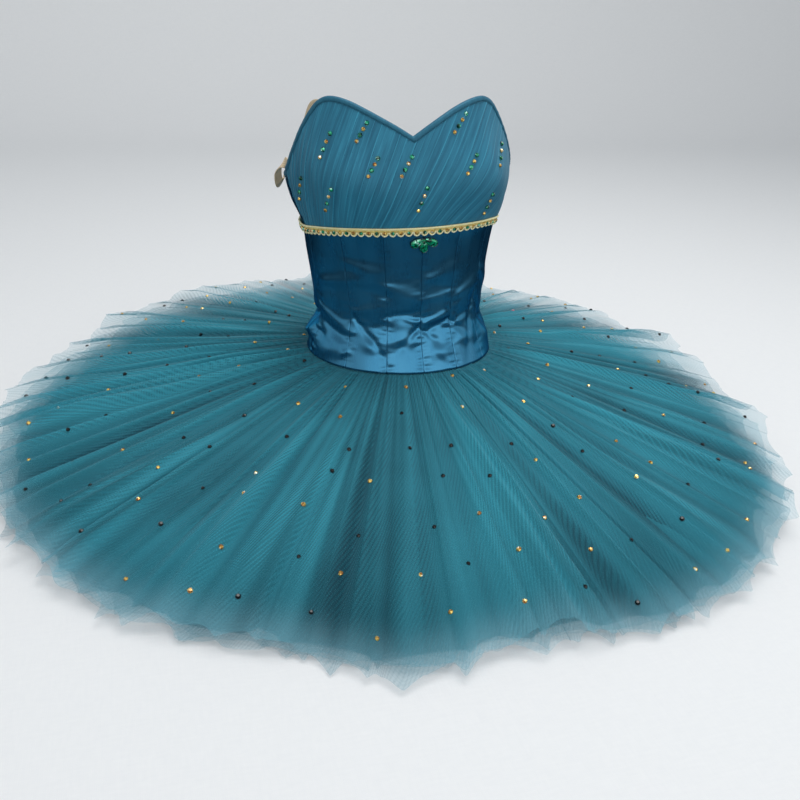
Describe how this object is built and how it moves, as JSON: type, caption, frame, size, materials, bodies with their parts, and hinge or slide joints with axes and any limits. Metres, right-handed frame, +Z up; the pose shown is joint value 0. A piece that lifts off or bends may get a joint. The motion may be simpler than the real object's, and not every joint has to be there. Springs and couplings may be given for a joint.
{
  "type": "ballet tutu",
  "caption": "Ballet tutu with a strapless sweetheart satin bodice, pleated bust, gold braid under it, and a wide round skirt of gathered net lying spread out.",
  "frame": {"origin": "on the surface the tutu stands on, under the middle of the round skirt", "axes": "+Z up; -Y out of the garment's centre front; +X towards the wearer's left"},
  "size_m": [0.994, 0.9956, 0.4288],
  "materials": {
    "satin": "glossy",
    "pleated": "soft sheen",
    "net": "matt net",
    "braid": "metallic thread",
    "stone": "cut glass",
    "elastic": "matt",
    "hook": "satin"
  },
  "bodies": {
    "root": {"panel_centre_front_left": "satin", "panel_centre_front_right": "satin", "panel_princess_front_left": "satin", "panel_princess_front_right": "satin", "panel_side_front_left": "satin", "panel_side_front_right": "satin", "panel_side_back_left": "satin", "panel_side_back_right": "satin", "panel_princess_back_left": "satin", "panel_princess_back_right": "satin", "panel_centre_back_left": "satin", "panel_centre_back_right": "satin", "bust_overlay": "pleated", "binding_front": "satin", "binding_back_left": "satin", "binding_back_right": "satin", "gold_braid": "braid", "brooch": "stone", "net_top_1": "net", "net_top_2": "net", "net_top_3": "net", "net_top_4": "net", "net_top_5": "net", "net_top_6": "net", "net_middle_1": "net", "net_middle_2": "net", "net_middle_3": "net", "net_middle_4": "net", "net_middle_5": "net", "net_middle_6": "net", "net_base_1": "net", "net_base_2": "net", "net_base_3": "net", "net_base_4": "net", "net_base_5": "net", "net_base_6": "net", "brief_front": "net", "brief_back": "net", "brief_gusset": "net", "strap_left": "elastic", "strap_right": "elastic", "back_underlap": "satin", "back_hook_1": "hook", "back_hook_2": "hook", "back_hook_3": "hook", "back_hook_4": "hook", "back_hook_5": "hook", "back_hook_6": "hook", "back_hook_7": "hook"}
  },
  "joints": []
}
